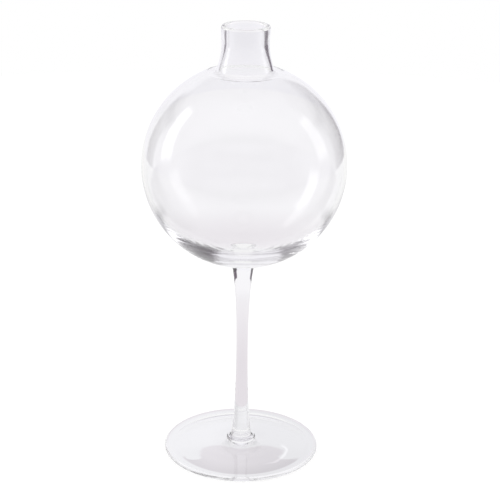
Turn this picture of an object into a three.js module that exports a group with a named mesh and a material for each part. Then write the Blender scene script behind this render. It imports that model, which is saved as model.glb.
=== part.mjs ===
// A stemmed glass vase: a blown globe under a short open neck, on a drawn stem and a wide round foot.
// Lengths are in millimetres, Z is up, and the origin is the centre of the circle that the foot stands on.
// The pieces are turned about Z and are fused end to end while hot, on flat round seams square to the axis.
import * as THREE from 'three';

// Foot: a spun disc with a fire-rounded rim, a top that sweeps up to the middle and a shallow hollow below.
const FOOT_DIAMETER = 106.2;
const FOOT_RIM_THICKNESS = 3.4;
const FOOT_HEIGHT = 6.8;
const FOOT_REST_WIDTH = 3.3;
const FOOT_HOLLOW_HEIGHT = 3.2;

// Collar: the flattened bead of glass that joins the stem to the foot.
const COLLAR_DIAMETER = 20;
const COLLAR_TOP_DIAMETER = 18.6;
const COLLAR_HEIGHT = 2.1;

// Stem: a solid drawn rod, thinnest at its waist, with a flare at both ends.
const STEM_LENGTH = 129.8;
const STEM_WAIST_DIAMETER = 7.9;
const STEM_WAIST_HEIGHT = 67.1;
const STEM_ROOT_DIAMETER = 13.6;
const STEM_ROOT_HEIGHT = 1.8;
const STEM_SHOULDER_DIAMETER = 12.4;
const STEM_SHOULDER_DEPTH = 11;
const STEM_TOP_DIAMETER = 18.4;

// Globe: a blown sphere, thin at the sides, with most of its glass gathered at the bottom.
const GLOBE_DIAMETER = 135.4;
const GLOBE_WALL = 1.3;
const GLOBE_BASE_THICKNESS = 10;
const GLOBE_GATHER = 10;

// Shoulder: the fillet on top of the globe that turns up into the neck.
const SHOULDER_DIAMETER = 50;
const SHOULDER_RISE = 2.6;

// Neck: a short tube that narrows to a waist and ends in a fire-polished lip.
const NECK_HEIGHT = 28.1;
const NECK_ROOT_DIAMETER = 36.4;
const NECK_ROOT_WALL = 1.7;
const NECK_ROOT_LEAN = 0.25;
const NECK_WAIST_DIAMETER = 30.9;
const NECK_WAIST_DEPTH = 12;
const NECK_BORE_DIAMETER = 24.8;
const NECK_BORE_DEPTH = 11;
const LIP_DIAMETER = 31.8;
const LIP_THICKNESS = 3.4;

// Facets: how many the pieces have round the axis, and how many points each curve of a profile has.
const ROUND_FACETS = 48;
const CURVE_POINTS = 5;
const GLOBE_POINTS = 20;

// Heights of the seams, from the table up.
const collarSeat = FOOT_HEIGHT;
const stemSeat = collarSeat + COLLAR_HEIGHT;
const globeSeat = stemSeat + STEM_LENGTH;
const globeRadius = GLOBE_DIAMETER / 2;
const globeCentre = globeSeat + Math.sqrt(globeRadius ** 2 - (STEM_TOP_DIAMETER / 2) ** 2);
const shoulderSeat = globeCentre + Math.sqrt(globeRadius ** 2 - (SHOULDER_DIAMETER / 2) ** 2);
const neckSeat = shoulderSeat + SHOULDER_RISE;

// The finish of the whole vase: clear colourless soda-lime glass.
function clearGlass() {
  return new THREE.MeshStandardMaterial({
    color: 0xf4f7f7,
    roughness: 0.03,
    metalness: 0,
    transparent: true,
    opacity: 0.35,
  });
}

// Turns a profile of (radius, height) points about the axis, with Z up.
function turned(name, points) {
  const geometry = new THREE.LatheGeometry(points, ROUND_FACETS);
  geometry.rotateX(Math.PI / 2);
  const mesh = new THREE.Mesh(geometry, clearGlass());
  mesh.name = name;
  return mesh;
}

// The foot stands on a narrow flat circle just inside its rim, and its top sweeps up to the collar.
function makeFoot() {
  const rimRadius = FOOT_RIM_THICKNESS / 2;
  const rimCentre = FOOT_DIAMETER / 2 - rimRadius;
  const restInner = rimCentre - FOOT_REST_WIDTH;
  const profile = new THREE.Path();
  profile.moveTo(0, FOOT_HOLLOW_HEIGHT);
  profile.bezierCurveTo(
    restInner * 0.4, FOOT_HOLLOW_HEIGHT,
    restInner * 0.75, FOOT_HOLLOW_HEIGHT * 0.5,
    restInner, 0,
  );
  profile.lineTo(rimCentre, 0);
  profile.absarc(rimCentre, rimRadius, rimRadius, -Math.PI / 2, Math.PI / 2, false);
  profile.bezierCurveTo(
    rimCentre * 0.74, FOOT_RIM_THICKNESS * 1.09,
    rimCentre * 0.43, FOOT_HEIGHT * 0.58,
    COLLAR_DIAMETER / 2, FOOT_HEIGHT,
  );
  profile.lineTo(0, FOOT_HEIGHT);
  return turned('foot', profile.getPoints(CURVE_POINTS));
}

// The collar's edge bulges a little before it closes in under the stem.
function makeCollar() {
  const lower = COLLAR_DIAMETER / 2;
  const upper = COLLAR_TOP_DIAMETER / 2;
  const profile = new THREE.Path();
  profile.moveTo(0, collarSeat);
  profile.lineTo(lower, collarSeat);
  profile.bezierCurveTo(
    lower, collarSeat + COLLAR_HEIGHT * 0.45,
    upper + (lower - upper) * 0.7, stemSeat - COLLAR_HEIGHT * 0.1,
    upper, stemSeat,
  );
  profile.lineTo(0, stemSeat);
  return turned('collar', profile.getPoints(CURVE_POINTS));
}

// The stem sweeps in from the collar to its waist, and out again through a shoulder to the globe.
function makeStem() {
  const bottom = COLLAR_TOP_DIAMETER / 2;
  const root = STEM_ROOT_DIAMETER / 2;
  const waist = STEM_WAIST_DIAMETER / 2;
  const shoulder = STEM_SHOULDER_DIAMETER / 2;
  const top = STEM_TOP_DIAMETER / 2;
  const rootHeight = stemSeat + STEM_ROOT_HEIGHT;
  const waistHeight = stemSeat + STEM_WAIST_HEIGHT;
  const shoulderHeight = globeSeat - STEM_SHOULDER_DEPTH;
  const profile = new THREE.Path();
  profile.moveTo(0, stemSeat);
  profile.lineTo(bottom, stemSeat);
  profile.bezierCurveTo(
    root + (bottom - root) * 0.5, stemSeat + STEM_ROOT_HEIGHT * 0.15,
    root + (bottom - root) * 0.1, stemSeat + STEM_ROOT_HEIGHT * 0.5,
    root, rootHeight,
  );
  profile.bezierCurveTo(
    waist + (root - waist) * 0.33, rootHeight + (waistHeight - rootHeight) * 0.18,
    waist, rootHeight + (waistHeight - rootHeight) * 0.6,
    waist, waistHeight,
  );
  profile.bezierCurveTo(
    waist, waistHeight + (shoulderHeight - waistHeight) * 0.5,
    waist + (shoulder - waist) * 0.45, waistHeight + (shoulderHeight - waistHeight) * 0.8,
    shoulder, shoulderHeight,
  );
  profile.bezierCurveTo(
    shoulder + (top - shoulder) * 0.2, shoulderHeight + STEM_SHOULDER_DEPTH * 0.4,
    shoulder + (top - shoulder) * 0.4, shoulderHeight + STEM_SHOULDER_DEPTH * 0.85,
    top, globeSeat,
  );
  profile.lineTo(0, globeSeat);
  return turned('stem', profile.getPoints(CURVE_POINTS));
}

// The globe's wall, measured inward at an angle from the top: thin at the sides and thick at the bottom.
function globeWall(angle) {
  const lowness = (1 - Math.cos(angle)) / 2;
  return GLOBE_WALL + (GLOBE_BASE_THICKNESS - GLOBE_WALL) * lowness ** GLOBE_GATHER;
}

// The globe is open at the top, where its shoulder turns up into the neck's root.
function makeGlobe() {
  const seat = STEM_TOP_DIAMETER / 2;
  const shoulder = SHOULDER_DIAMETER / 2;
  const root = NECK_ROOT_DIAMETER / 2;
  const mouth = root - NECK_ROOT_WALL;
  const span = shoulder - root;
  const shoulderAngle = Math.asin(shoulder / globeRadius);
  const fromAngle = Math.asin(seat / globeRadius) - Math.PI / 2;
  const toAngle = Math.PI / 2 - shoulderAngle;
  const profile = new THREE.Path();
  profile.moveTo(0, globeSeat);
  profile.lineTo(seat, globeSeat);
  profile.absarc(0, globeCentre, globeRadius, fromAngle, toAngle, false);
  profile.bezierCurveTo(
    shoulder - span * 0.5, shoulderSeat + SHOULDER_RISE * 0.25,
    root + NECK_ROOT_LEAN * SHOULDER_RISE * 0.7, neckSeat - SHOULDER_RISE * 0.7,
    root, neckSeat,
  );
  profile.lineTo(mouth, neckSeat);

  // From the mouth the inner face turns out under the shoulder, and then follows the wall down to the axis.
  const innerTop = globeRadius - GLOBE_WALL;
  const joinRadius = innerTop * Math.sin(shoulderAngle);
  const joinHeight = globeCentre + innerTop * Math.cos(shoulderAngle);
  const innerSpan = joinRadius - mouth;
  const innerRise = neckSeat - joinHeight;
  profile.bezierCurveTo(
    mouth + NECK_ROOT_LEAN * innerRise * 0.7, neckSeat - innerRise * 0.85,
    joinRadius - innerSpan * 0.5, joinHeight + innerRise * 0.2,
    joinRadius, joinHeight,
  );
  const points = profile.getPoints(GLOBE_POINTS / 2);
  for (let i = 1; i < GLOBE_POINTS; i += 1) {
    const angle = shoulderAngle + (Math.PI - shoulderAngle) * i / GLOBE_POINTS;
    const radius = globeRadius - globeWall(angle);
    points.push(new THREE.Vector2(radius * Math.sin(angle), globeCentre + radius * Math.cos(angle)));
  }
  points.push(new THREE.Vector2(0, globeCentre - globeRadius + GLOBE_BASE_THICKNESS));
  return turned('globe', points);
}

// The neck draws in from its root to a waist, opens slightly again, and its lip is a full round.
function makeNeck() {
  const root = NECK_ROOT_DIAMETER / 2;
  const mouth = root - NECK_ROOT_WALL;
  const waist = NECK_WAIST_DIAMETER / 2;
  const bore = NECK_BORE_DIAMETER / 2;
  const lip = LIP_DIAMETER / 2;
  const lipRadius = LIP_THICKNESS / 2;
  const lipCentre = neckSeat + NECK_HEIGHT - lipRadius;
  const waistHeight = neckSeat + NECK_HEIGHT - NECK_WAIST_DEPTH;
  const boreHeight = neckSeat + NECK_HEIGHT - NECK_BORE_DEPTH;
  const flank = waistHeight - neckSeat;
  const toLip = lipCentre - waistHeight;
  const boreFlank = boreHeight - neckSeat;
  const boreToLip = lipCentre - boreHeight;
  const profile = new THREE.Path();
  profile.moveTo(root, neckSeat);
  profile.bezierCurveTo(
    root - NECK_ROOT_LEAN * flank * 0.35, neckSeat + flank * 0.35,
    waist, neckSeat + flank * 0.6,
    waist, waistHeight,
  );
  profile.bezierCurveTo(
    waist, waistHeight + toLip * 0.5,
    lip, lipCentre - toLip * 0.4,
    lip, lipCentre,
  );
  profile.absarc(lip - lipRadius, lipCentre, lipRadius, 0, Math.PI, false);
  profile.bezierCurveTo(
    lip - LIP_THICKNESS, lipCentre - boreToLip * 0.4,
    bore, boreHeight + boreToLip * 0.4,
    bore, boreHeight,
  );
  profile.bezierCurveTo(
    bore, boreHeight - boreFlank * 0.35,
    mouth - NECK_ROOT_LEAN * boreFlank * 0.4, neckSeat + boreFlank * 0.4,
    mouth, neckSeat,
  );
  profile.closePath();
  return turned('neck', profile.getPoints(CURVE_POINTS));
}

const group = new THREE.Group();
group.add(makeFoot(), makeCollar(), makeStem(), makeGlobe(), makeNeck());

export default group;
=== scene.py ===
# A stemmed vase of clear glass. Its five pieces were fused to each other hot, and each has a section here,
# from the foot up. Outlines are half sections, (distance from the axis, height) in millimetres, turned about
# the axis, which is Z.
import math

import bmesh
import bpy
from mathutils import Matrix, Vector, geometry, noise


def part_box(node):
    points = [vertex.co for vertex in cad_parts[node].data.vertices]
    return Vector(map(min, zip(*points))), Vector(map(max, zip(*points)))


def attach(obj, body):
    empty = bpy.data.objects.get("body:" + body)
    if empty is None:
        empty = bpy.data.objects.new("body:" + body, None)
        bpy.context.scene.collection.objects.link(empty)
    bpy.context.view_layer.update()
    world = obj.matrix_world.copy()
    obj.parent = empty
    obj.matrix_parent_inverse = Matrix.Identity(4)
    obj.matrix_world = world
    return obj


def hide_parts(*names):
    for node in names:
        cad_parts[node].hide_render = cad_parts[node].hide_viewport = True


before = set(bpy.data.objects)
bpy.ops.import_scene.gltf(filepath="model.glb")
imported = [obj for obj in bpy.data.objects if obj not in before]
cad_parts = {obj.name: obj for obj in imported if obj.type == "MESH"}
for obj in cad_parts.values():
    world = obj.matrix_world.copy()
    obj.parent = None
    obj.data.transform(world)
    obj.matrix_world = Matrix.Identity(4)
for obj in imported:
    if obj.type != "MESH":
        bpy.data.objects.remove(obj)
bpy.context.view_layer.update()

# Foot: the disc that the vase stands on, a gather of clear soda-lime glass that was spun out flat while
# soft. The fire has rounded its rim. Its top rises gently to the collar, and its underside is hollowed, so
# that just a narrow ring near the rim meets the table.
MM = 0.001
ROUND_STEPS = 384
CURVE_STEPS = 24
LONG_CURVE_STEPS = 40
SAME_PLACE = 0.002
FOOT_RIM_THICKNESS = 3.4
FOOT_REST_WIDTH = 3.3
FOOT_HOLLOW_HEIGHT = 3.2
GLASS_IOR = 1.52  # soda-lime glass
GLASS_TINT = 0xfdfdfd
WHITE = (1, 1, 1, 1)


def linear(srgb_hex):
    """The linear colour, with alpha, that an sRGB hex value stands for."""
    shares = [(srgb_hex >> shift & 255) / 255 for shift in (16, 8, 0)]
    return (*[s / 12.92 if s <= 0.04045 else ((s + 0.055) / 1.055) ** 2.4 for s in shares], 1)


def add_node(tree, kind, inputs, **settings):
    """Adds a node with its settings, and links each input that is given another node's output."""
    node = tree.nodes.new(kind)
    for name, value in settings.items():
        setattr(node, name, value)
    for name, value in inputs.items():
        if isinstance(value, bpy.types.NodeSocket):
            tree.links.new(value, node.inputs[name])
        else:
            node.inputs[name].default_value = value
    return node


def piece_reach(node):
    """A turned node's radius, lowest and highest point, in millimetres."""
    low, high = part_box(node)
    return high.x / MM, low.z / MM, high.z / MM


def curve(outline, first, second, end, steps=CURVE_STEPS):
    """Runs an outline on to its end along a curve. Two points, set by shares of its spans, pull it."""
    knots = [Vector((radius, 0, height)) for radius, height in (outline[-1], first, second, end)]
    points = geometry.interpolate_bezier(*knots, steps + 1)
    outline.extend((point.x, point.z) for point in points[1:])


def arc(outline, centre, radius, start, end, steps=CURVE_STEPS):
    """Runs an outline round a centre, from one angle to another."""
    for i in range(steps + 1):
        angle = start + (end - start) * i / steps
        outline.append((centre[0] + radius * math.cos(angle), centre[1] + radius * math.sin(angle)))


def glass(name):
    """Clear soda-lime glass, polished by the fire: a mirror-smooth skin without any grain."""
    material = bpy.data.materials.new(name)
    material.use_nodes = True
    shader = material.node_tree.nodes["Principled BSDF"]
    shader.inputs["Base Color"].default_value = linear(GLASS_TINT)
    shader.inputs["Roughness"].default_value = 0.0
    shader.inputs["IOR"].default_value = GLASS_IOR
    shader.inputs["Transmission Weight"].default_value = 1.0
    return material


def open_seam():
    """Where two pieces were fused the glass runs on, so the seam's two faces let light straight through."""
    material = bpy.data.materials.new("fused_seam")
    material.use_nodes = True
    tree = material.node_tree
    tree.nodes.clear()
    clear = add_node(tree, "ShaderNodeBsdfTransparent", {"Color": WHITE})
    add_node(tree, "ShaderNodeOutputMaterial", {"Surface": clear.outputs[0]})
    return material


def turned(name, outline, skin, seams, round_steps=ROUND_STEPS):
    """Turns an outline about Z. The faces at the seam heights get the seam's finish and a sharp edge."""
    shape = bmesh.new()
    verts = [shape.verts.new((radius * MM, 0, height * MM)) for radius, height in outline]
    edges = [shape.edges.new(pair) for pair in zip(verts, verts[1:])]
    bmesh.ops.spin(
        shape, geom=verts + edges, axis=(0, 0, 1), cent=(0, 0, 0), angle=math.tau,
        steps=round_steps, use_merge=True, use_normal_flip=False, use_duplicate=False,
    )
    bmesh.ops.remove_doubles(shape, verts=shape.verts, dist=SAME_PLACE * MM)
    bmesh.ops.recalc_face_normals(shape, faces=shape.faces)
    for face in shape.faces:
        face.smooth = True
        heights = [vert.co.z / MM for vert in face.verts]
        on_seam = any(max(abs(height - seam) for height in heights) < SAME_PLACE for seam in seams)
        face.material_index = 1 if on_seam else 0
    for edge in shape.edges:
        edge.smooth = len({face.material_index for face in edge.link_faces}) == 1
    mesh = bpy.data.meshes.new(name)
    shape.to_mesh(mesh)
    shape.free()
    mesh.materials.append(skin)
    mesh.materials.append(fused_seam)
    piece = bpy.data.objects.new(name, mesh)
    bpy.context.scene.collection.objects.link(piece)
    return piece


fused_seam = open_seam()
spun_glass = glass("spun_soda_lime_glass")
foot_radius, foot_bottom, foot_top = piece_reach("foot")
collar_radius, collar_bottom, collar_top = piece_reach("collar")

rim_radius = FOOT_RIM_THICKNESS / 2
rim_centre = foot_radius - rim_radius
rest_inner = rim_centre - FOOT_REST_WIDTH
foot_outline = [(0, FOOT_HOLLOW_HEIGHT)]
curve(
    foot_outline,
    (rest_inner * 0.4, FOOT_HOLLOW_HEIGHT),
    (rest_inner * 0.75, FOOT_HOLLOW_HEIGHT * 0.5),
    (rest_inner, foot_bottom),
    steps=LONG_CURVE_STEPS,
)
foot_outline.append((rim_centre, foot_bottom))
arc(foot_outline, (rim_centre, rim_radius), rim_radius, -math.pi / 2, math.pi / 2)
curve(
    foot_outline,
    (rim_centre * 0.74, FOOT_RIM_THICKNESS * 1.09),
    (rim_centre * 0.43, foot_top * 0.58),
    (collar_radius, foot_top),
    steps=LONG_CURVE_STEPS,
)
foot_outline.append((0, foot_top))
spun_foot = turned("spun_foot", foot_outline, spun_glass, [foot_top])
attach(spun_foot, "root")
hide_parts("foot")

# Collar: the bead of glass that was dropped on the foot to take the stem, and that the stem has pressed
# flat. It is the same clear glass. Its edge bulges before it closes in on the stem.
pressed_glass = glass("pressed_soda_lime_glass")
stem_reach, stem_bottom, stem_top = piece_reach("stem")
collar_height = collar_top - collar_bottom
collar_outline = [(0, collar_bottom), (collar_radius, collar_bottom)]
curve(
    collar_outline,
    (collar_radius, collar_bottom + collar_height * 0.45),
    (stem_reach + (collar_radius - stem_reach) * 0.7, collar_top - collar_height * 0.1),
    (stem_reach, collar_top),
)
collar_outline.append((0, collar_top))
pressed_collar = turned("pressed_collar", collar_outline, pressed_glass, [collar_bottom, collar_top])
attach(pressed_collar, "root")
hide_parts("collar")

# Stem: a solid rod that was drawn out of the globe's gather by hand. It is thinnest at its waist, spreads
# down to the collar, and opens through a shoulder into the bottom of the globe.
STEM_WAIST_RADIUS = 3.95
STEM_WAIST_HEIGHT = 67.1
STEM_ROOT_RADIUS = 6.8
STEM_ROOT_HEIGHT = 1.8
STEM_SHOULDER_RADIUS = 6.2
STEM_SHOULDER_DEPTH = 11
STEM_TOP_RADIUS = 9.2

drawn_glass = glass("drawn_soda_lime_glass")
root_height = stem_bottom + STEM_ROOT_HEIGHT
root_spread = stem_reach - STEM_ROOT_RADIUS
stem_waist = stem_bottom + STEM_WAIST_HEIGHT
stem_shoulder = stem_top - STEM_SHOULDER_DEPTH
to_waist = stem_waist - root_height
waist_spread = STEM_ROOT_RADIUS - STEM_WAIST_RADIUS
to_shoulder = stem_shoulder - stem_waist
shoulder_spread = STEM_SHOULDER_RADIUS - STEM_WAIST_RADIUS
top_spread = STEM_TOP_RADIUS - STEM_SHOULDER_RADIUS
stem_outline = [(0, stem_bottom), (stem_reach, stem_bottom)]
curve(
    stem_outline,
    (STEM_ROOT_RADIUS + root_spread * 0.5, stem_bottom + STEM_ROOT_HEIGHT * 0.15),
    (STEM_ROOT_RADIUS + root_spread * 0.1, stem_bottom + STEM_ROOT_HEIGHT * 0.5),
    (STEM_ROOT_RADIUS, root_height),
)
curve(
    stem_outline,
    (STEM_WAIST_RADIUS + waist_spread * 0.33, root_height + to_waist * 0.18),
    (STEM_WAIST_RADIUS, root_height + to_waist * 0.6),
    (STEM_WAIST_RADIUS, stem_waist),
    steps=LONG_CURVE_STEPS,
)
curve(
    stem_outline,
    (STEM_WAIST_RADIUS, stem_waist + to_shoulder * 0.5),
    (STEM_WAIST_RADIUS + shoulder_spread * 0.45, stem_waist + to_shoulder * 0.8),
    (STEM_SHOULDER_RADIUS, stem_shoulder),
    steps=LONG_CURVE_STEPS,
)
curve(
    stem_outline,
    (STEM_SHOULDER_RADIUS + top_spread * 0.2, stem_shoulder + STEM_SHOULDER_DEPTH * 0.4),
    (STEM_SHOULDER_RADIUS + top_spread * 0.4, stem_shoulder + STEM_SHOULDER_DEPTH * 0.85),
    (STEM_TOP_RADIUS, stem_top),
)
stem_outline.append((0, stem_top))
drawn_stem = turned("drawn_stem", stem_outline, drawn_glass, [stem_bottom, stem_top])
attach(drawn_stem, "root")
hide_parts("stem")

# Globe: the bulb that holds the water, blown from one gather. The glass is thin at the sides and gathers at
# the bottom over the stem, where blowing has left its inner face faintly rippled. On top a small fillet
# turns it up into the neck.
GLOBE_WALL = 1.3
GLOBE_BASE_THICKNESS = 10
GLOBE_GATHER = 10  # a power of the lowness, which keeps the thick glass near the bottom
SHOULDER_RADIUS = 25
NECK_ROOT_WALL = 1.7
NECK_ROOT_LEAN = 0.25  # how far the glass leans out for each millimetre down, where it meets the neck
GLOBE_STEPS = 160
GLOBE_ROUND_STEPS = 256
RIPPLE_DEPTH = 0.04
RIPPLE_CIRCLE = 12  # the circle's radius in the noise, which gives about 75 ripples round the globe
RIPPLE_LENGTH = 20
RIPPLE_LOWNESS = (0.5, 0.7)  # from 0 at the globe's middle to 1 at its bottom
RIPPLE_REACH = (18, 28)
RIPPLE_SIDE = 0.9  # the share of the wall that a point lies in from the outside, to be on the inner face

blown_glass = glass("blown_soda_lime_glass")
globe_radius, globe_bottom, globe_top = piece_reach("globe")
neck_radius, neck_bottom, neck_top = piece_reach("neck")
mouth_radius = neck_radius - NECK_ROOT_WALL
globe_centre = globe_bottom + math.sqrt(globe_radius ** 2 - STEM_TOP_RADIUS ** 2)
shoulder_seat = globe_centre + math.sqrt(globe_radius ** 2 - SHOULDER_RADIUS ** 2)
shoulder_rise = neck_bottom - shoulder_seat
shoulder_span = SHOULDER_RADIUS - neck_radius
shoulder_angle = math.asin(SHOULDER_RADIUS / globe_radius)
globe_outline = [(0, globe_bottom)]
arc(
    globe_outline, (0, globe_centre), globe_radius,
    math.asin(STEM_TOP_RADIUS / globe_radius) - math.pi / 2, math.pi / 2 - shoulder_angle, steps=GLOBE_STEPS,
)
curve(
    globe_outline,
    (SHOULDER_RADIUS - shoulder_span * 0.5, shoulder_seat + shoulder_rise * 0.25),
    (neck_radius + NECK_ROOT_LEAN * shoulder_rise * 0.7, neck_bottom - shoulder_rise * 0.7),
    (neck_radius, neck_bottom),
)
globe_outline.append((mouth_radius, neck_bottom))
inner_radius = globe_radius - GLOBE_WALL
join_radius = inner_radius * math.sin(shoulder_angle)
join_height = globe_centre + inner_radius * math.cos(shoulder_angle)
inner_span = join_radius - mouth_radius
inner_rise = neck_bottom - join_height
curve(
    globe_outline,
    (mouth_radius + NECK_ROOT_LEAN * inner_rise * 0.7, neck_bottom - inner_rise * 0.85),
    (join_radius - inner_span * 0.5, join_height + inner_rise * 0.2),
    (join_radius, join_height),
)
for i in range(1, GLOBE_STEPS + 1):
    angle = shoulder_angle + (math.pi - shoulder_angle) * i / GLOBE_STEPS
    lowness = (1 - math.cos(angle)) / 2
    wall = GLOBE_WALL + (GLOBE_BASE_THICKNESS - GLOBE_WALL) * lowness ** GLOBE_GATHER
    inside = globe_radius - wall
    globe_outline.append((inside * math.sin(angle), globe_centre + inside * math.cos(angle)))
blown_globe = turned("blown_globe", globe_outline, blown_glass, [globe_bottom, globe_top], GLOBE_ROUND_STEPS)

inner_face = globe_radius - RIPPLE_SIDE * GLOBE_WALL
for vert in blown_globe.data.vertices:
    reach = vert.co.xy.length / MM
    height = vert.co.z / MM
    depth_share = (globe_centre - height) / globe_radius
    on_inner_face = math.hypot(reach, height - globe_centre) < inner_face
    if on_inner_face and depth_share > RIPPLE_LOWNESS[0] and reach > RIPPLE_REACH[0]:
        around = vert.co.xy.normalized() * RIPPLE_CIRCLE
        ripple = noise.noise((around.x, around.y, reach / RIPPLE_LENGTH))
        low_fade = min(1, (depth_share - RIPPLE_LOWNESS[0]) / (RIPPLE_LOWNESS[1] - RIPPLE_LOWNESS[0]))
        reach_fade = min(1, (reach - RIPPLE_REACH[0]) / (RIPPLE_REACH[1] - RIPPLE_REACH[0]))
        vert.co.z += RIPPLE_DEPTH * MM * ripple * low_fade * reach_fade
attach(blown_globe, "root")
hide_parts("globe")

# Neck: the open tube on top, drawn in while the globe was blown. Its wall thickens up to a waist and ends
# in a lip that was cut and then melted round in the fire.
NECK_WAIST_RADIUS = 15.45
NECK_WAIST_DEPTH = 12
NECK_BORE_RADIUS = 12.4
NECK_BORE_DEPTH = 11
LIP_RADIUS = 15.9
LIP_THICKNESS = 3.4
LIP_STEPS = 32

lip_round = LIP_THICKNESS / 2
lip_centre = neck_top - lip_round
neck_waist = neck_top - NECK_WAIST_DEPTH
bore_height = neck_top - NECK_BORE_DEPTH
flank = neck_waist - neck_bottom
to_lip = lip_centre - neck_waist
bore_flank = bore_height - neck_bottom
bore_to_lip = lip_centre - bore_height
neck_outline = [(neck_radius, neck_bottom)]
curve(
    neck_outline,
    (neck_radius - NECK_ROOT_LEAN * flank * 0.35, neck_bottom + flank * 0.35),
    (NECK_WAIST_RADIUS, neck_bottom + flank * 0.6),
    (NECK_WAIST_RADIUS, neck_waist),
    steps=LONG_CURVE_STEPS,
)
curve(
    neck_outline,
    (NECK_WAIST_RADIUS, neck_waist + to_lip * 0.5),
    (LIP_RADIUS, lip_centre - to_lip * 0.4),
    (LIP_RADIUS, lip_centre),
)
arc(neck_outline, (LIP_RADIUS - lip_round, lip_centre), lip_round, 0, math.pi, steps=LIP_STEPS)
curve(
    neck_outline,
    (LIP_RADIUS - LIP_THICKNESS, lip_centre - bore_to_lip * 0.4),
    (NECK_BORE_RADIUS, bore_height + bore_to_lip * 0.4),
    (NECK_BORE_RADIUS, bore_height),
)
curve(
    neck_outline,
    (NECK_BORE_RADIUS, bore_height - bore_flank * 0.35),
    (mouth_radius - NECK_ROOT_LEAN * bore_flank * 0.4, neck_bottom + bore_flank * 0.4),
    (mouth_radius, neck_bottom),
    steps=LONG_CURVE_STEPS,
)
neck_outline.append(neck_outline[0])
open_neck = turned("open_neck", neck_outline, blown_glass, [neck_bottom])
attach(open_neck, "root")
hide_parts("neck")

# Floor: a round sheet of matt white paper. To the eye it is white with the vase's own shadow, and it runs
# into the white of the room. Seen through the glass it glows with painted light and shade: painted shade
# that makes it greyer near the vase than far off, sides painted dark from about 600 mm out, and under the
# foot a painted shadow of the foot with a painted bright line of focused light. What the glass mirrors of it
# has
# painted shade too: dimmer in front, in a wing on each side behind the vase, and in a band round the foot.
# Lengths here are in millimetres, and a pair of values says where a change begins and where it ends.
FLOOR_RADIUS = 1100
FLOOR_SIDES = 128
FLOOR_DROP = 0.05
PAPER_MATT = 0.35
PAPER_GLOW = 0.72
PAPER_NEAR = 0.78
PAPER_FAR = 0.99
PAPER_OPENS = (140, 420)
PAPER_NEAR_TINT = 0xfff9ff
PAPER_FAR_TINT = 0xfdfcff
PAINTED_DARK_SIDES = (580, 620)
SIDES = (
    (-180, 1.0), (-82, 1.0), (-72, 0.06), (-42, 0.06), (-38, 1.0), (27, 1.0), (31, 0.06), (72, 0.06),
    (82, 1.0), (180, 1.0),
)
GAP_TINT = (0.03, 0.0, 0.03)  # what each colour gets back of the light that a dark part lacks
WAVER_SCALE = 0.06
WAVER_DETAIL = 2.0
WAVER_WIDTH = 6
FOOT_EDGE = (51, 53)
FOOT_TINT = 0xfcfcff
FOOT_LIGHT_LEFT = 0.92
FOOT_LIGHT_RIGHT = 0.84
FOOT_LIGHT_TURNS = (-25, 20)
SHADE_TINT = 0xfefaff
SHADE_MIDDLE = (0.5, -20)
SHADE_HALF = (29, 19)
SHADE_FADES = (0.75, 1.2)  # of the lobe's half size, to the fourth power
SHADE_FRONT = (-25, -19)
SHADE_RADIUS = (45.3, 46.3)
SHADE_DEPTH = 0.11
SHADE_RIM_DEPTH = 0.2
SHADE_DEEPENS = (30, 44)
TONGUES = ((-33, -22), (32, -19))
TONGUE_HALF = (7, 5)
TONGUE_FADES = (0.6, 1.0)  # of the tongue's half size
STREAK_MIDDLE = (11, -10)
STREAK_RADIUS = 20.5
STREAK_FADES = (0.4, 1.6)
STREAK_RIGHT = (2, 14)
STREAK_FRONT = (4, 12)
STREAK_LIGHT = 0.14
MIRRORED_ONCE = 0.5  # more mirrorings than this
TURNED_OFTEN = 5.5  # more mirrorings than this
PAPER_MIRRORED = 0.95
PAPER_MIRRORED_FRONT = 0.3
PAPER_MIRRORED_RISES = (-700, -150)
PAPER_WING = 0.45
WING_ASIDE = (80, 120)
WING_BEHIND = (60, 100)
WING_BEGINS = (250, 275)
WING_ENDS = (300, 360)
PAPER_TURNED_OFTEN = 0.4
BAND_BEGINS = (65, 80)
BAND_ENDS = (140, 180)


def set_levels(ramp, stops):
    """Gives a ramp that runs round the vase its brightness at a list of degrees to the right of the back."""
    while len(ramp.elements) < len(stops):
        ramp.elements.new(0.5)
    for element, (degrees, brightness) in zip(ramp.elements, stops):
        element.position = (degrees + 180) / 360
        element.color = (*[brightness + (1 - brightness) * share for share in GAP_TINT], 1)


floor_shape = bmesh.new()
bmesh.ops.create_circle(
    floor_shape, cap_ends=True, segments=FLOOR_SIDES, radius=FLOOR_RADIUS * MM,
    matrix=Matrix.Translation((0, 0, -FLOOR_DROP * MM)),
)
floor_mesh = bpy.data.meshes.new("floor")
floor_shape.to_mesh(floor_mesh)
floor_shape.free()
floor = bpy.data.objects.new("floor", floor_mesh)
bpy.context.scene.collection.objects.link(floor)
paper = bpy.data.materials.new("matt_white_paper")
paper.use_nodes = True
sheet = paper.node_tree
sheet.nodes.clear()
light_path = add_node(sheet, "ShaderNodeLightPath", {})
on_paper = add_node(sheet, "ShaderNodeTexCoord", {})
in_mm = add_node(
    sheet, "ShaderNodeVectorMath", {0: on_paper.outputs["Object"], 1: (1 / MM, 1 / MM, 0)},
    operation="MULTIPLY",
)
waver = add_node(
    sheet, "ShaderNodeTexNoise", {"Vector": in_mm.outputs[0], "Scale": WAVER_SCALE, "Detail": WAVER_DETAIL},
)
drift = add_node(
    sheet, "ShaderNodeVectorMath",
    {0: waver.outputs["Color"], 1: (WAVER_WIDTH, WAVER_WIDTH, 0),
     2: (-WAVER_WIDTH / 2, -WAVER_WIDTH / 2, 0)},
    operation="MULTIPLY_ADD",
)
spot = add_node(sheet, "ShaderNodeVectorMath", {0: in_mm.outputs[0], 1: drift.outputs[0]}, operation="ADD")
spot_axes = add_node(sheet, "ShaderNodeSeparateXYZ", {"Vector": spot.outputs[0]})
spot_radius = add_node(sheet, "ShaderNodeVectorMath", {0: in_mm.outputs[0]}, operation="LENGTH")
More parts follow.
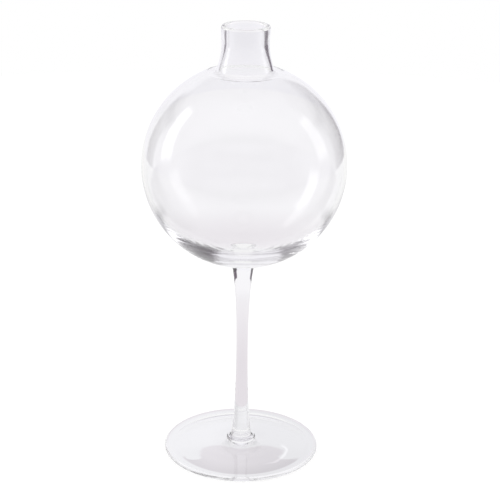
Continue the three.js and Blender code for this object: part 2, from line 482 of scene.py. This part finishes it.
# Painted shade: seen through the glass the paper is darker near the vase and brightens far off.
open_paper = add_node(
    sheet, "ShaderNodeMapRange",
    {"Value": spot_radius.outputs["Value"], "From Min": PAPER_OPENS[0], "From Max": PAPER_OPENS[1],
     "To Min": PAPER_NEAR, "To Max": PAPER_FAR},
)
# Painted light: under the foot the paper is lit brighter on the left than on the right.
foot_light = add_node(
    sheet, "ShaderNodeMapRange",
    {"Value": spot_axes.outputs["X"], "From Min": FOOT_LIGHT_TURNS[0], "From Max": FOOT_LIGHT_TURNS[1],
     "To Min": FOOT_LIGHT_LEFT, "To Max": FOOT_LIGHT_RIGHT},
    interpolation_type="SMOOTHSTEP",
)

# The painted shadow is a squarish lobe in front of the collar that widens along the rim. Two painted bright
# tongues cut in.
lobe_place = add_node(
    sheet, "ShaderNodeVectorMath", {0: spot.outputs[0], 1: (-SHADE_MIDDLE[0], -SHADE_MIDDLE[1], 0)},
    operation="ADD",
)
lobe_share = add_node(
    sheet, "ShaderNodeVectorMath", {0: lobe_place.outputs[0], 1: (1 / SHADE_HALF[0], 1 / SHADE_HALF[1], 0)},
    operation="MULTIPLY",
)
lobe_square = add_node(
    sheet, "ShaderNodeVectorMath", {0: lobe_share.outputs[0], 1: lobe_share.outputs[0]},
    operation="MULTIPLY",
)
lobe_power = add_node(
    sheet, "ShaderNodeVectorMath", {0: lobe_square.outputs[0], 1: lobe_square.outputs[0]},
    operation="DOT_PRODUCT",
)
lobe = add_node(
    sheet, "ShaderNodeMapRange",
    {"Value": lobe_power.outputs["Value"], "From Min": SHADE_FADES[0], "From Max": SHADE_FADES[1],
     "To Min": 1.0, "To Max": 0.0},
    interpolation_type="SMOOTHSTEP",
)
crescent = add_node(
    sheet, "ShaderNodeMapRange",
    {"Value": spot_axes.outputs["Y"], "From Min": SHADE_FRONT[0], "From Max": SHADE_FRONT[1],
     "To Min": 1.0, "To Max": 0.0},
    interpolation_type="SMOOTHSTEP",
)
shade = add_node(sheet, "ShaderNodeMath", {0: lobe.outputs[0], 1: crescent.outputs[0]}, operation="MAXIMUM")
for tongue in TONGUES:
    from_tongue = add_node(
        sheet, "ShaderNodeVectorMath", {0: spot.outputs[0], 1: (-tongue[0], -tongue[1], 0)}, operation="ADD",
    )
    tongue_share = add_node(
        sheet, "ShaderNodeVectorMath",
        {0: from_tongue.outputs[0], 1: (1 / TONGUE_HALF[0], 1 / TONGUE_HALF[1], 0)},
        operation="MULTIPLY",
    )
    tongue_reach = add_node(sheet, "ShaderNodeVectorMath", {0: tongue_share.outputs[0]}, operation="LENGTH")
    outside = add_node(
        sheet, "ShaderNodeMapRange",
        {"Value": tongue_reach.outputs["Value"], "From Min": TONGUE_FADES[0], "From Max": TONGUE_FADES[1]},
        interpolation_type="SMOOTHSTEP",
    )
    shade = add_node(
        sheet, "ShaderNodeMath", {0: shade.outputs[0], 1: outside.outputs[0]}, operation="MULTIPLY",
    )
inside_rim = add_node(
    sheet, "ShaderNodeMapRange",
    {"Value": spot_radius.outputs["Value"], "From Min": SHADE_RADIUS[0], "From Max": SHADE_RADIUS[1],
     "To Min": 1.0, "To Max": 0.0},
)
shade = add_node(
    sheet, "ShaderNodeMath", {0: shade.outputs[0], 1: inside_rim.outputs[0]}, operation="MULTIPLY",
)
depth = add_node(
    sheet, "ShaderNodeMapRange",
    {"Value": spot_radius.outputs["Value"], "From Min": SHADE_DEEPENS[0], "From Max": SHADE_DEEPENS[1],
     "To Min": SHADE_DEPTH, "To Max": SHADE_RIM_DEPTH},
)

# A painted line of focused light curls from the right into the painted shadow.
from_streak = add_node(
    sheet, "ShaderNodeVectorMath", {0: spot.outputs[0], 1: (-STREAK_MIDDLE[0], -STREAK_MIDDLE[1], 0)},
    operation="ADD",
)
streak_radius = add_node(sheet, "ShaderNodeVectorMath", {0: from_streak.outputs[0]}, operation="LENGTH")
off_streak = add_node(
    sheet, "ShaderNodeMath", {0: streak_radius.outputs["Value"], 1: STREAK_RADIUS}, operation="SUBTRACT",
)
beside_streak = add_node(sheet, "ShaderNodeMath", {0: off_streak.outputs[0]}, operation="ABSOLUTE")
streak = add_node(
    sheet, "ShaderNodeMapRange",
    {"Value": beside_streak.outputs[0], "From Min": STREAK_FADES[0], "From Max": STREAK_FADES[1],
     "To Min": 1.0, "To Max": 0.0},
    interpolation_type="SMOOTHSTEP",
)
streak_axes = add_node(sheet, "ShaderNodeSeparateXYZ", {"Vector": from_streak.outputs[0]})
right_half = add_node(
    sheet, "ShaderNodeMapRange",
    {"Value": streak_axes.outputs["X"], "From Min": STREAK_RIGHT[0], "From Max": STREAK_RIGHT[1]},
    interpolation_type="SMOOTHSTEP",
)
front_half = add_node(
    sheet, "ShaderNodeMapRange",
    {"Value": streak_axes.outputs["Y"], "From Min": STREAK_FRONT[0], "From Max": STREAK_FRONT[1],
     "To Min": 1.0, "To Max": 0.0},
    interpolation_type="SMOOTHSTEP",
)
for half in (right_half, front_half):
    streak = add_node(
        sheet, "ShaderNodeMath", {0: streak.outputs[0], 1: half.outputs[0]}, operation="MULTIPLY",
    )
taken = add_node(sheet, "ShaderNodeMath", {0: shade.outputs[0], 1: depth.outputs[0]}, operation="MULTIPLY")
shaded = add_node(
    sheet, "ShaderNodeMath", {0: foot_light.outputs[0], 1: taken.outputs[0]}, operation="SUBTRACT",
)
focused = add_node(
    sheet, "ShaderNodeMath", {0: streak.outputs[0], 1: STREAK_LIGHT, 2: shaded.outputs[0]},
    operation="MULTIPLY_ADD",
)
past_foot = add_node(
    sheet, "ShaderNodeMapRange",
    {"Value": spot_radius.outputs["Value"], "From Min": FOOT_EDGE[0], "From Max": FOOT_EDGE[1]},
)

# From about 600 mm out the paper is painted dark on each side, as the room's sides are dark there.
paper_axes = add_node(sheet, "ShaderNodeSeparateXYZ", {"Vector": in_mm.outputs[0]})
paper_turn = add_node(
    sheet, "ShaderNodeMath", {0: paper_axes.outputs["X"], 1: paper_axes.outputs["Y"]}, operation="ARCTAN2",
)
paper_turn_share = add_node(
    sheet, "ShaderNodeMapRange", {"Value": paper_turn.outputs[0], "From Min": -math.pi, "From Max": math.pi},
)
paper_sides = add_node(sheet, "ShaderNodeValToRGB", {"Fac": paper_turn_share.outputs[0]})
set_levels(paper_sides.color_ramp, SIDES)
on_painted_dark_sides = add_node(
    sheet, "ShaderNodeMapRange",
    {"Value": spot_radius.outputs["Value"], "From Min": PAINTED_DARK_SIDES[0], "From Max": PAINTED_DARK_SIDES[1]},
)
open_paper = add_node(
    sheet, "ShaderNodeMixRGB",
    {"Fac": on_painted_dark_sides.outputs[0], "Color1": open_paper.outputs[0], "Color2": paper_sides.outputs[0]},
    blend_type="MULTIPLY",
)
paper_light = add_node(
    sheet, "ShaderNodeMixRGB",
    {"Fac": past_foot.outputs[0], "Color1": focused.outputs[0], "Color2": open_paper.outputs[0]},
)
# The painted shade near the vase, and the painted light and shadow under the foot, each get their own tint.
far_share = add_node(
    sheet, "ShaderNodeMapRange",
    {"Value": spot_radius.outputs["Value"], "From Min": PAPER_OPENS[0], "From Max": PAPER_OPENS[1]},
)
open_tint = add_node(
    sheet, "ShaderNodeMixRGB",
    {"Fac": far_share.outputs[0], "Color1": linear(PAPER_NEAR_TINT), "Color2": linear(PAPER_FAR_TINT)},
)
foot_tint = add_node(
    sheet, "ShaderNodeMixRGB",
    {"Fac": shade.outputs[0], "Color1": linear(FOOT_TINT), "Color2": linear(SHADE_TINT)},
)
paper_tint = add_node(
    sheet, "ShaderNodeMixRGB",
    {"Fac": past_foot.outputs[0], "Color1": foot_tint.outputs[0], "Color2": open_tint.outputs[0]},
)
seen_through = add_node(
    sheet, "ShaderNodeMixRGB",
    {"Fac": 1.0, "Color1": paper_light.outputs[0], "Color2": paper_tint.outputs[0]}, blend_type="MULTIPLY",
)

# Painted shade: what the glass mirrors of the paper is dimmer towards the front and in the wings.
mirrored = add_node(
    sheet, "ShaderNodeMath", {0: light_path.outputs["Glossy Depth"], 1: MIRRORED_ONCE},
    operation="GREATER_THAN",
)
in_mirror = add_node(
    sheet, "ShaderNodeMapRange",
    {"Value": spot_axes.outputs["Y"], "From Min": PAPER_MIRRORED_RISES[0],
     "From Max": PAPER_MIRRORED_RISES[1], "To Min": PAPER_MIRRORED_FRONT, "To Max": PAPER_MIRRORED},
    interpolation_type="SMOOTHSTEP",
)
beside_vase = add_node(sheet, "ShaderNodeMath", {0: paper_axes.outputs["X"]}, operation="ABSOLUTE")
wing = add_node(
    sheet, "ShaderNodeMapRange",
    {"Value": beside_vase.outputs[0], "From Min": WING_ASIDE[0], "From Max": WING_ASIDE[1]},
    interpolation_type="SMOOTHSTEP",
)
behind_share = add_node(
    sheet, "ShaderNodeMapRange",
    {"Value": paper_axes.outputs["Y"], "From Min": WING_BEHIND[0], "From Max": WING_BEHIND[1]},
)
near_share = add_node(
    sheet, "ShaderNodeMapRange",
    {"Value": spot_radius.outputs["Value"], "From Min": WING_ENDS[0], "From Max": WING_ENDS[1],
     "To Min": 1.0, "To Max": 0.0},
)
far_enough = add_node(
    sheet, "ShaderNodeMapRange",
    {"Value": spot_radius.outputs["Value"], "From Min": WING_BEGINS[0], "From Max": WING_BEGINS[1]},
)
for share in (behind_share, near_share, far_enough):
    wing = add_node(sheet, "ShaderNodeMath", {0: wing.outputs[0], 1: share.outputs[0]}, operation="MULTIPLY")
wing_light = add_node(
    sheet, "ShaderNodeMapRange", {"Value": wing.outputs[0], "To Min": 1.0, "To Max": PAPER_WING},
)
in_mirror = add_node(
    sheet, "ShaderNodeMath", {0: in_mirror.outputs[0], 1: wing_light.outputs[0]}, operation="MULTIPLY",
)

# Painted shade: light that the thick glass has turned often finds the paper dim in a band round the foot.
turned_often = add_node(
    sheet, "ShaderNodeMath", {0: light_path.outputs["Glossy Depth"], 1: TURNED_OFTEN},
    operation="GREATER_THAN",
)
in_band = add_node(
    sheet, "ShaderNodeMapRange",
    {"Value": spot_radius.outputs["Value"], "From Min": BAND_BEGINS[0], "From Max": BAND_BEGINS[1]},
)
before_open = add_node(
    sheet, "ShaderNodeMapRange",
    {"Value": spot_radius.outputs["Value"], "From Min": BAND_ENDS[0], "From Max": BAND_ENDS[1],
     "To Min": 1.0, "To Max": 0.0},
)
for share in (before_open, turned_often):
    in_band = add_node(
        sheet, "ShaderNodeMath", {0: in_band.outputs[0], 1: share.outputs[0]}, operation="MULTIPLY",
    )
in_mirror = add_node(
    sheet, "ShaderNodeMixRGB",
    {"Fac": in_band.outputs[0], "Color1": in_mirror.outputs[0],
     "Color2": (PAPER_TURNED_OFTEN, PAPER_TURNED_OFTEN, PAPER_TURNED_OFTEN, 1)},
)
level = add_node(
    sheet, "ShaderNodeMixRGB",
    {"Fac": mirrored.outputs[0], "Color1": seen_through.outputs[0], "Color2": in_mirror.outputs[0]},
)
# Seen by the glass, the paper glows with its painted light and shade rather than taking light from the room.
by_glass = add_node(sheet, "ShaderNodeEmission", {"Color": level.outputs[0], "Strength": 1.0})
matt = add_node(sheet, "ShaderNodeBsdfDiffuse", {"Color": (PAPER_MATT, PAPER_MATT, PAPER_MATT, 1)})
glow = add_node(sheet, "ShaderNodeEmission", {"Color": WHITE, "Strength": PAPER_GLOW})
by_eye = add_node(sheet, "ShaderNodeAddShader", {0: matt.outputs[0], 1: glow.outputs[0]})
surface = add_node(
    sheet, "ShaderNodeMixShader",
    {0: light_path.outputs["Is Camera Ray"], 1: by_glass.outputs[0], 2: by_eye.outputs[0]},
)
add_node(sheet, "ShaderNodeOutputMaterial", {"Surface": surface.outputs[0]})
floor_mesh.materials.append(paper)

# Studio: a room that is plain white for the eye and for the paper. For the glass it is given as rings of
# light, each a list of (degrees to the right of the back, level) from the elevation named first: the white
# backdrop, the darker gaps beside it, the light sides and the dimmer front. Light that no glass has mirrored
# also finds the dark sides past the paper, low down, and white beyond them. Light that the thick glass has
# turned often finds the gaps beside the backdrop darker still. Angles are in degrees.
RINGS = (
    (-90, (
        (-180, 0.3), (-125, 0.4), (-98, 0.75), (-62, 0.9), (-57, 0.35), (-45, 0.35), (-38, 0.97), (27, 0.97),
        (33, 0.25), (56, 0.25), (62, 0.8), (95, 0.85), (120, 0.4), (180, 0.3),
    )),
    (-9, (
        (-180, 0.5), (-130, 0.5), (-100, 0.85), (-62, 0.9), (-56, 0.25), (-42, 0.25), (-36, 0.97),
        (22, 0.97), (28, 0.15), (54, 0.12), (62, 0.6), (72, 0.75), (95, 0.8), (130, 0.5), (180, 0.5),
    )),
    (11, (
        (-180, 0.6), (-100, 0.75), (-66, 0.78), (-58, 0.36), (-40, 0.36), (-33, 1.0), (18, 1.0), (24, 0.36),
        (36, 0.27), (56, 0.27), (68, 0.65), (95, 0.75), (180, 0.6),
    )),
    (31, (
        (-180, 0.88), (-100, 0.84), (-65, 0.8), (-45, 0.62), (-20, 0.7), (5, 0.79), (20, 0.75), (42, 0.51),
        (60, 0.56), (80, 0.9), (120, 0.88), (180, 0.88),
    )),
    (52, (
        (-180, 0.97), (-120, 0.94), (-75, 0.81), (-45, 0.66), (30, 0.66), (75, 0.81), (120, 0.9),
        (180, 0.97),
    )),
)
RING_SOFTNESS = 4
GAPS = (
    (-180, 1.0), (-78, 1.0), (-66, 0.5), (-40, 0.4), (-33, 1.0), (24, 1.0), (31, 0.03), (66, 0.03),
    (78, 1.0), (180, 1.0),
)
LOW_DOWN = (-1, 3)
PAST_SIDES = (78, 86)
PAST_SIDES_LIGHT = 0.97
ROOM_TINT = 0xfbfaff

world = bpy.data.worlds.new("studio")
bpy.context.scene.world = world
world.use_nodes = True
room = world.node_tree
room.nodes.clear()
direction = add_node(room, "ShaderNodeTexCoord", {})
axes = add_node(room, "ShaderNodeSeparateXYZ", {"Vector": direction.outputs["Generated"]})
turn = add_node(room, "ShaderNodeMath", {0: axes.outputs["X"], 1: axes.outputs["Y"]}, operation="ARCTAN2")
rise = add_node(room, "ShaderNodeMath", {0: axes.outputs["Z"]}, operation="ARCSINE")
turn_share = add_node(
    room, "ShaderNodeMapRange", {"Value": turn.outputs[0], "From Min": -math.pi, "From Max": math.pi},
)
mirror_room = None
for start, stops in RINGS:
    ring = add_node(room, "ShaderNodeValToRGB", {"Fac": turn_share.outputs[0]})
    ring.color_ramp.interpolation = "EASE"
    set_levels(ring.color_ramp, stops)
    if mirror_room:
        above = add_node(
            room, "ShaderNodeMapRange",
            {"Value": rise.outputs[0], "From Min": math.radians(start - RING_SOFTNESS),
             "From Max": math.radians(start + RING_SOFTNESS)},
            interpolation_type="SMOOTHSTEP",
        )
        ring = add_node(
            room, "ShaderNodeMixRGB",
            {"Fac": above.outputs[0], "Color1": mirror_room.outputs[0], "Color2": ring.outputs[0]},
        )
    mirror_room = ring
gaps = add_node(room, "ShaderNodeValToRGB", {"Fac": turn_share.outputs[0]})
gaps.color_ramp.interpolation = "EASE"
set_levels(gaps.color_ramp, GAPS)
path = add_node(room, "ShaderNodeLightPath", {})
low_down = add_node(
    room, "ShaderNodeMapRange",
    {"Value": rise.outputs[0], "From Min": math.radians(LOW_DOWN[0]), "From Max": math.radians(LOW_DOWN[1]),
     "To Min": 1.0, "To Max": 0.0},
)
straight = add_node(
    room, "ShaderNodeMath", {0: path.outputs["Glossy Depth"], 1: MIRRORED_ONCE}, operation="LESS_THAN",
)
past_sheet = add_node(
    room, "ShaderNodeMath", {0: low_down.outputs[0], 1: straight.outputs[0]}, operation="MULTIPLY",
)
sides = add_node(room, "ShaderNodeValToRGB", {"Fac": turn_share.outputs[0]})
set_levels(sides.color_ramp, SIDES)
mirror_room = add_node(
    room, "ShaderNodeMixRGB",
    {"Fac": past_sheet.outputs[0], "Color1": mirror_room.outputs[0], "Color2": sides.outputs[0]},
    blend_type="MULTIPLY",
)
aside_turn = add_node(room, "ShaderNodeMath", {0: turn.outputs[0]}, operation="ABSOLUTE")
past_sides = add_node(
    room, "ShaderNodeMapRange",
    {"Value": aside_turn.outputs[0], "From Min": math.radians(PAST_SIDES[0]),
     "From Max": math.radians(PAST_SIDES[1])},
)
straight_past = add_node(
    room, "ShaderNodeMath", {0: past_sides.outputs[0], 1: straight.outputs[0]}, operation="MULTIPLY",
)
mirror_room = add_node(
    room, "ShaderNodeMixRGB",
    {"Fac": straight_past.outputs[0], "Color1": mirror_room.outputs[0],
     "Color2": (PAST_SIDES_LIGHT, PAST_SIDES_LIGHT, PAST_SIDES_LIGHT, 1)},
)
turned_round = add_node(
    room, "ShaderNodeMath", {0: path.outputs["Glossy Depth"], 1: TURNED_OFTEN}, operation="GREATER_THAN",
)
mirror_room = add_node(
    room, "ShaderNodeMixRGB",
    {"Fac": turned_round.outputs[0], "Color1": mirror_room.outputs[0], "Color2": gaps.outputs[0]},
    blend_type="MULTIPLY",
)
tinted_room = add_node(
    room, "ShaderNodeMixRGB",
    {"Fac": 1.0, "Color1": mirror_room.outputs[0], "Color2": linear(ROOM_TINT)}, blend_type="MULTIPLY",
)
plain_white = add_node(
    room, "ShaderNodeMath", {0: path.outputs["Is Camera Ray"], 1: path.outputs["Diffuse Depth"]},
    operation="ADD", use_clamp=True,
)
seen = add_node(
    room, "ShaderNodeMixRGB",
    {"Fac": plain_white.outputs[0], "Color1": tinted_room.outputs[0], "Color2": WHITE},
)
background = add_node(room, "ShaderNodeBackground", {"Color": seen.outputs[0], "Strength": 1.0})
add_node(room, "ShaderNodeOutputWorld", {"Surface": background.outputs[0]})

# Lamps: a tall strip lamp on each side, a little behind the vase, for the pale streaks with soft edges that
# run down the sides of the globe. Sizes and places are in metres.
SOFT_EDGE = 0.2  # the share of the lamp's width and length over which each edge fades


def strip_lamp(name, centre, width, length, lean, radiance):
    """A strip lamp beside the vase, facing it squarely, with its top leaning to the back by some degrees."""
    data = bpy.data.lights.new(name, "AREA")
    data.shape = "RECTANGLE"
    data.size = width
    data.size_y = length
    data.energy = radiance * math.pi * width * length
    data.use_nodes = True
    glow_tree = data.node_tree
    on_lamp = add_node(glow_tree, "ShaderNodeNewGeometry", {})
    from_centre = add_node(
        glow_tree, "ShaderNodeVectorMath", {0: on_lamp.outputs["Parametric"], 1: (-0.5, -0.5, 0)},
        operation="ADD",
    )
    to_edge = add_node(glow_tree, "ShaderNodeVectorMath", {0: from_centre.outputs[0]}, operation="ABSOLUTE")
    edge_axes = add_node(glow_tree, "ShaderNodeSeparateXYZ", {"Vector": to_edge.outputs[0]})
    faded = None
    for axis in ("X", "Y"):
        fade = add_node(
            glow_tree, "ShaderNodeMapRange",
            {"Value": edge_axes.outputs[axis], "From Min": 0.5 - SOFT_EDGE, "From Max": 0.5,
             "To Min": 1.0, "To Max": 0.0},
            interpolation_type="SMOOTHSTEP",
        )
        if faded:
            fade = add_node(
                glow_tree, "ShaderNodeMath", {0: faded.outputs[0], 1: fade.outputs[0]}, operation="MULTIPLY",
            )
        faded = fade
    glow_tree.links.new(faded.outputs[0], glow_tree.nodes["Emission"].inputs["Strength"])
    lamp = bpy.data.objects.new(name, data)
    bpy.context.scene.collection.objects.link(lamp)
    back = Vector((math.copysign(1, centre[0]), 0, 0))
    up = Vector((0, math.sin(math.radians(lean)), math.cos(math.radians(lean))))
    across = up.cross(back)
    lamp.matrix_world = Matrix.Translation(centre) @ Matrix((across, up, back)).transposed().to_4x4()
    lamp.visible_camera = False


strip_lamp("left_strip", centre=(-1.0, 0.23, 0.706), width=0.37, length=1.16, lean=17, radiance=1.45)
strip_lamp("right_strip", centre=(1.0, 0.165, 0.646), width=0.38, length=0.94, lean=4, radiance=0.8)

# Camera: the photograph's own, solved from the ellipses of the lip, the neck's root and the foot's rim and
# from the globe's outline. Its place is in metres and its angles are in degrees.
GLASS_BOUNCES = 160  # light crosses the thick bottom of the globe by many turns
SENSOR_WIDTH = 36
LENS = 112.44
CAMERA_PLACE = (0.00452, -0.98201, 0.51035)
CAMERA_PITCH = 20.323
CAMERA_ROLL = 0.7773

camera = bpy.data.objects.new("camera", bpy.data.cameras.new("camera"))
bpy.context.scene.collection.objects.link(camera)
camera.data.sensor_width = SENSOR_WIDTH
camera.data.lens = LENS
camera.matrix_world = (
    Matrix.Translation(CAMERA_PLACE)
    @ Matrix.Rotation(math.radians(90 - CAMERA_PITCH), 4, "X")
    @ Matrix.Rotation(math.radians(CAMERA_ROLL), 4, "Z")
)
bpy.context.scene.camera = camera
bpy.context.scene.view_settings.view_transform = "Standard"
bpy.context.scene.cycles.max_bounces = GLASS_BOUNCES
bpy.context.scene.cycles.transmission_bounces = GLASS_BOUNCES
bpy.context.scene.cycles.glossy_bounces = GLASS_BOUNCES
